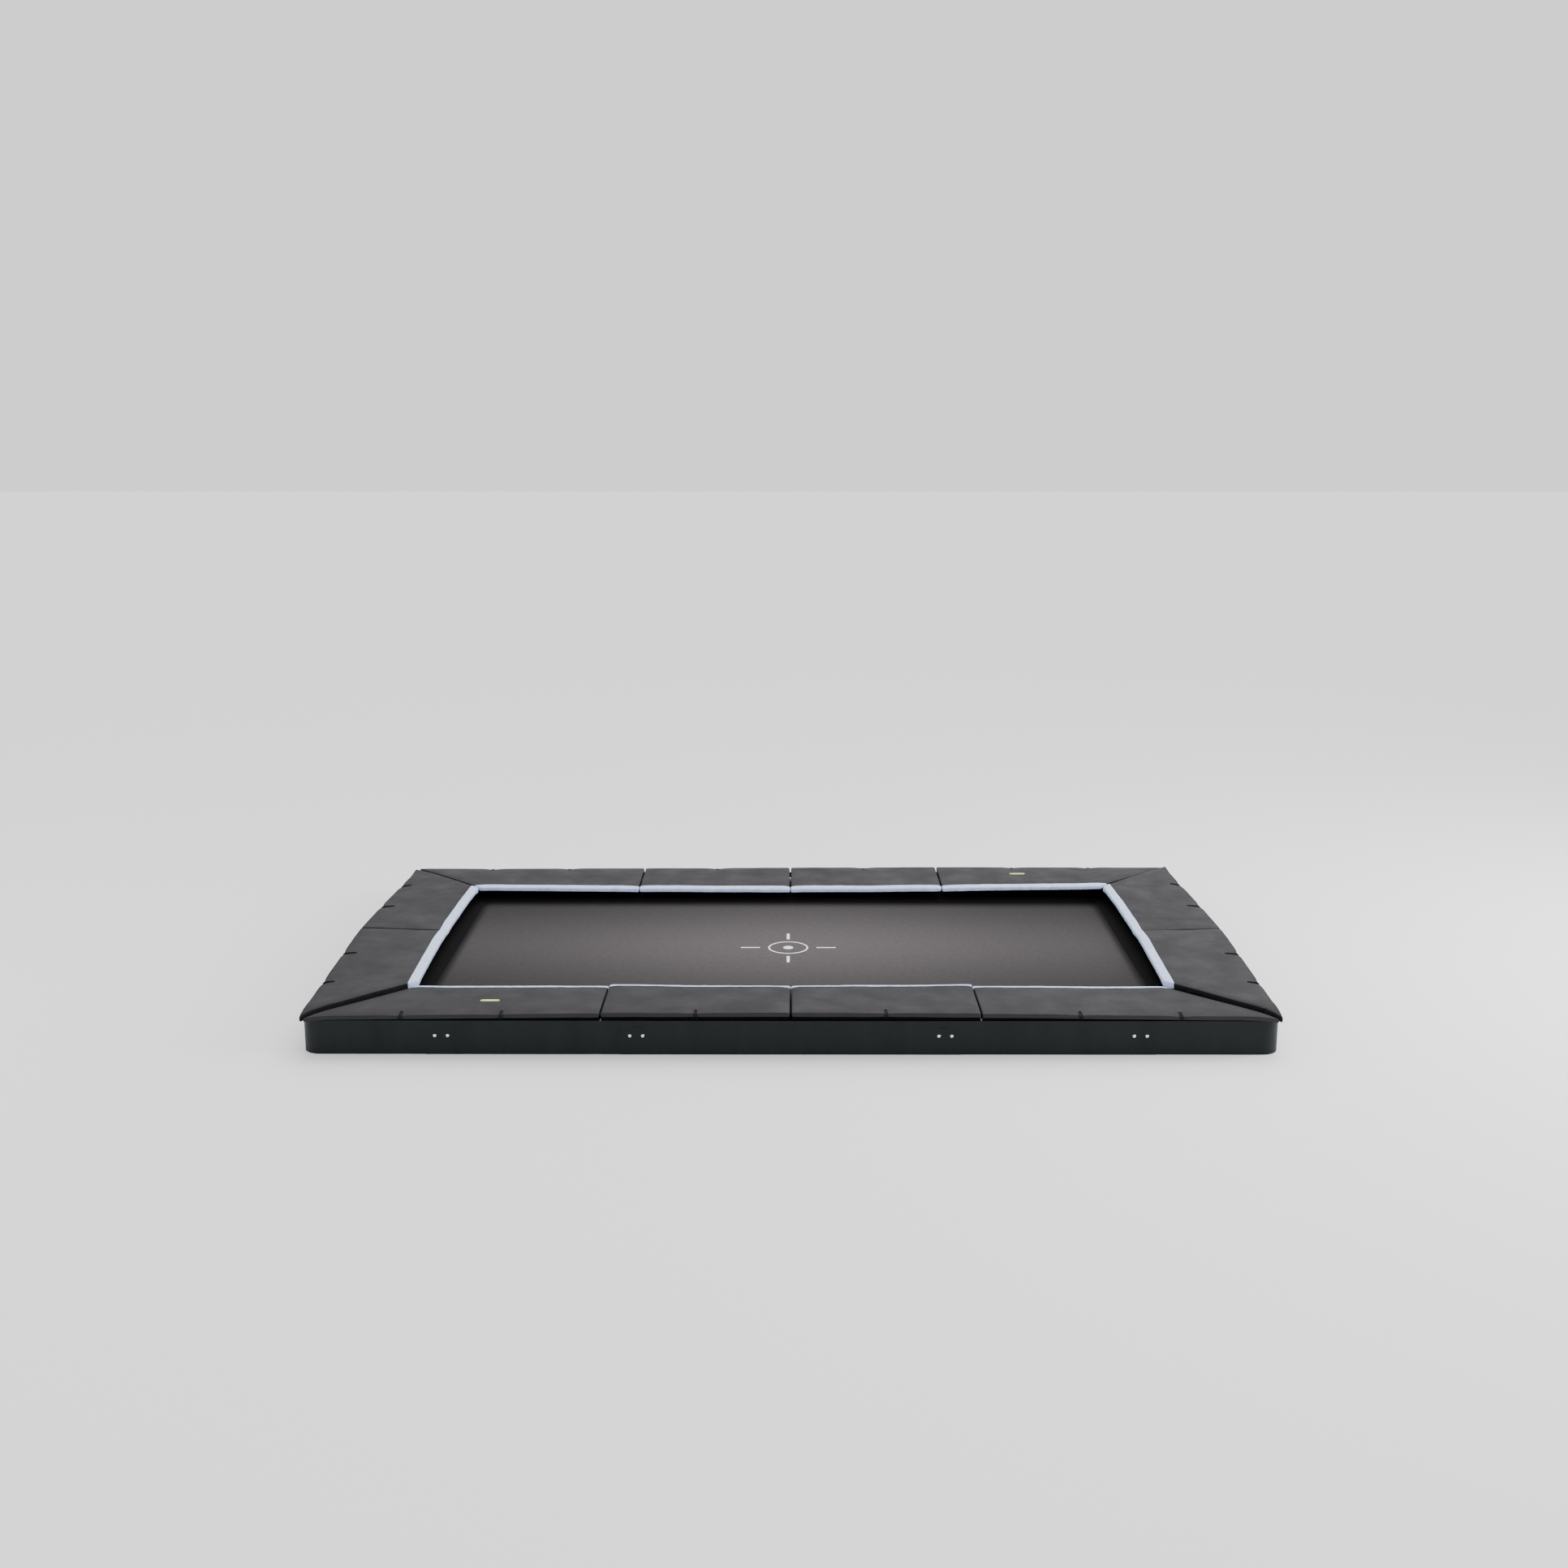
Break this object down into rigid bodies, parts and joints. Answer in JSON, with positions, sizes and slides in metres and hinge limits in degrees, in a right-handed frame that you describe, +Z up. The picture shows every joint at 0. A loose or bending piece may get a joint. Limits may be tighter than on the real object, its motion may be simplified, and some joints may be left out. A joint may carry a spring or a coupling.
{
  "type": "trampoline",
  "caption": "Low rectangular in-ground trampoline: tube frame on socket legs, sprung woven bed, lapped wall panels and hinged safety pads.",
  "frame": {"origin": "on the ground at the middle of the frame", "axes": "+X along the long sides to the right, +Y to the back, +Z up"},
  "size_m": [5.214, 3.06, 0.243],
  "materials": {
    "pad_cover": "satin",
    "elastic": "matte",
    "wall_panel": "satin",
    "zinc_fastener": "satin",
    "spring_steel": "satin",
    "galvanised_tube": "matte",
    "bed_mesh": "matte",
    "bed_webbing": "matte"
  },
  "bodies": {
    "frame": {"corner_rail_back_left": "galvanised_tube", "corner_rail_back_right": "galvanised_tube", "corner_rail_front_left": "galvanised_tube", "corner_rail_front_right": "galvanised_tube", "leg_back_inner_left": "galvanised_tube", "leg_back_inner_right": "galvanised_tube", "leg_back_outer_left": "galvanised_tube", "leg_back_outer_right": "galvanised_tube", "leg_front_inner_left": "galvanised_tube", "leg_front_inner_right": "galvanised_tube", "leg_front_outer_left": "galvanised_tube", "leg_front_outer_right": "galvanised_tube", "leg_left_back": "galvanised_tube", "leg_left_front": "galvanised_tube", "leg_right_back": "galvanised_tube", "leg_right_front": "galvanised_tube", "pad_loops": "elastic", "rail_back_left": "galvanised_tube", "rail_back_middle": "galvanised_tube", "rail_back_right": "galvanised_tube", "rail_front_left": "galvanised_tube", "rail_front_middle": "galvanised_tube", "rail_front_right": "galvanised_tube", "rail_left": "galvanised_tube", "rail_right": "galvanised_tube", "socket_screws": "zinc_fastener", "springs_back": "spring_steel", "springs_front": "spring_steel", "springs_left": "spring_steel", "springs_right": "spring_steel", "wall_back_left": "wall_panel", "wall_back_middle": "wall_panel", "wall_back_right": "wall_panel", "wall_bolts": "zinc_fastener", "wall_corner_back_left": "wall_panel", "wall_corner_back_right": "wall_panel", "wall_corner_front_left": "wall_panel", "wall_corner_front_right": "wall_panel", "wall_front_left": "wall_panel", "wall_front_middle": "wall_panel", "wall_front_right": "wall_panel", "wall_left": "wall_panel", "wall_nuts": "zinc_fastener", "wall_right": "wall_panel", "wall_washers": "zinc_fastener"},
    "bed": {"bed_fabric": "bed_mesh", "bed_border": "bed_webbing", "bed_rings": "spring_steel"},
    "pad_back_corner_left": {"pad_back_corner_left": "pad_cover"},
    "pad_back_corner_right": {"pad_back_corner_right": "pad_cover"},
    "pad_back_middle_left": {"pad_back_middle_left": "pad_cover"},
    "pad_back_middle_right": {"pad_back_middle_right": "pad_cover"},
    "pad_front_corner_left": {"pad_front_corner_left": "pad_cover"},
    "pad_front_corner_right": {"pad_front_corner_right": "pad_cover"},
    "pad_front_middle_left": {"pad_front_middle_left": "pad_cover"},
    "pad_front_middle_right": {"pad_front_middle_right": "pad_cover"},
    "pad_left_back": {"pad_left_back": "pad_cover"},
    "pad_left_front": {"pad_left_front": "pad_cover"},
    "pad_right_back": {"pad_right_back": "pad_cover"},
    "pad_right_front": {"pad_right_front": "pad_cover"}
  },
  "joints": [
    {"name": "bed_bounce", "type": "slide", "parent": "frame", "child": "bed", "axis": [0, 0, 1], "range_m": [-0.1, 0], "stiffness_N_per_m": 5200, "springref_m": 0.022, "deforming": ["springs_back", "springs_front", "springs_left", "springs_right"]},
    {"name": "pad_back_corner_left_fold", "type": "hinge", "parent": "frame", "child": "pad_back_corner_left", "pos_m": [0, 1.523, 0.197], "axis": [-1, 0, 0], "range_deg": [0, 105], "deforming": ["pad_loops"]},
    {"name": "pad_back_corner_right_fold", "type": "hinge", "parent": "frame", "child": "pad_back_corner_right", "pos_m": [0, 1.523, 0.197], "axis": [-1, 0, 0], "range_deg": [0, 105], "deforming": ["pad_loops"]},
    {"name": "pad_back_middle_left_fold", "type": "hinge", "parent": "frame", "child": "pad_back_middle_left", "pos_m": [0, 1.523, 0.197], "axis": [-1, 0, 0], "range_deg": [0, 105], "deforming": ["pad_loops"]},
    {"name": "pad_back_middle_right_fold", "type": "hinge", "parent": "frame", "child": "pad_back_middle_right", "pos_m": [0, 1.523, 0.197], "axis": [-1, 0, 0], "range_deg": [0, 105], "deforming": ["pad_loops"]},
    {"name": "pad_front_corner_left_fold", "type": "hinge", "parent": "frame", "child": "pad_front_corner_left", "pos_m": [0, -1.523, 0.197], "axis": [1, 0, 0], "range_deg": [0, 105], "deforming": ["pad_loops"]},
    {"name": "pad_front_corner_right_fold", "type": "hinge", "parent": "frame", "child": "pad_front_corner_right", "pos_m": [0, -1.523, 0.197], "axis": [1, 0, 0], "range_deg": [0, 105], "deforming": ["pad_loops"]},
    {"name": "pad_front_middle_left_fold", "type": "hinge", "parent": "frame", "child": "pad_front_middle_left", "pos_m": [0, -1.523, 0.197], "axis": [1, 0, 0], "range_deg": [0, 105], "deforming": ["pad_loops"]},
    {"name": "pad_front_middle_right_fold", "type": "hinge", "parent": "frame", "child": "pad_front_middle_right", "pos_m": [0, -1.523, 0.197], "axis": [1, 0, 0], "range_deg": [0, 105], "deforming": ["pad_loops"]},
    {"name": "pad_left_back_fold", "type": "hinge", "parent": "frame", "child": "pad_left_back", "pos_m": [-2.6, 0, 0.206], "axis": [0, -1, 0], "range_deg": [0, 105], "deforming": ["pad_loops"]},
    {"name": "pad_left_front_fold", "type": "hinge", "parent": "frame", "child": "pad_left_front", "pos_m": [-2.6, 0, 0.206], "axis": [0, -1, 0], "range_deg": [0, 105], "deforming": ["pad_loops"]},
    {"name": "pad_right_back_fold", "type": "hinge", "parent": "frame", "child": "pad_right_back", "pos_m": [2.6, 0, 0.206], "axis": [0, 1, 0], "range_deg": [0, 105], "deforming": ["pad_loops"]},
    {"name": "pad_right_front_fold", "type": "hinge", "parent": "frame", "child": "pad_right_front", "pos_m": [2.6, 0, 0.206], "axis": [0, 1, 0], "range_deg": [0, 105], "deforming": ["pad_loops"]}
  ]
}
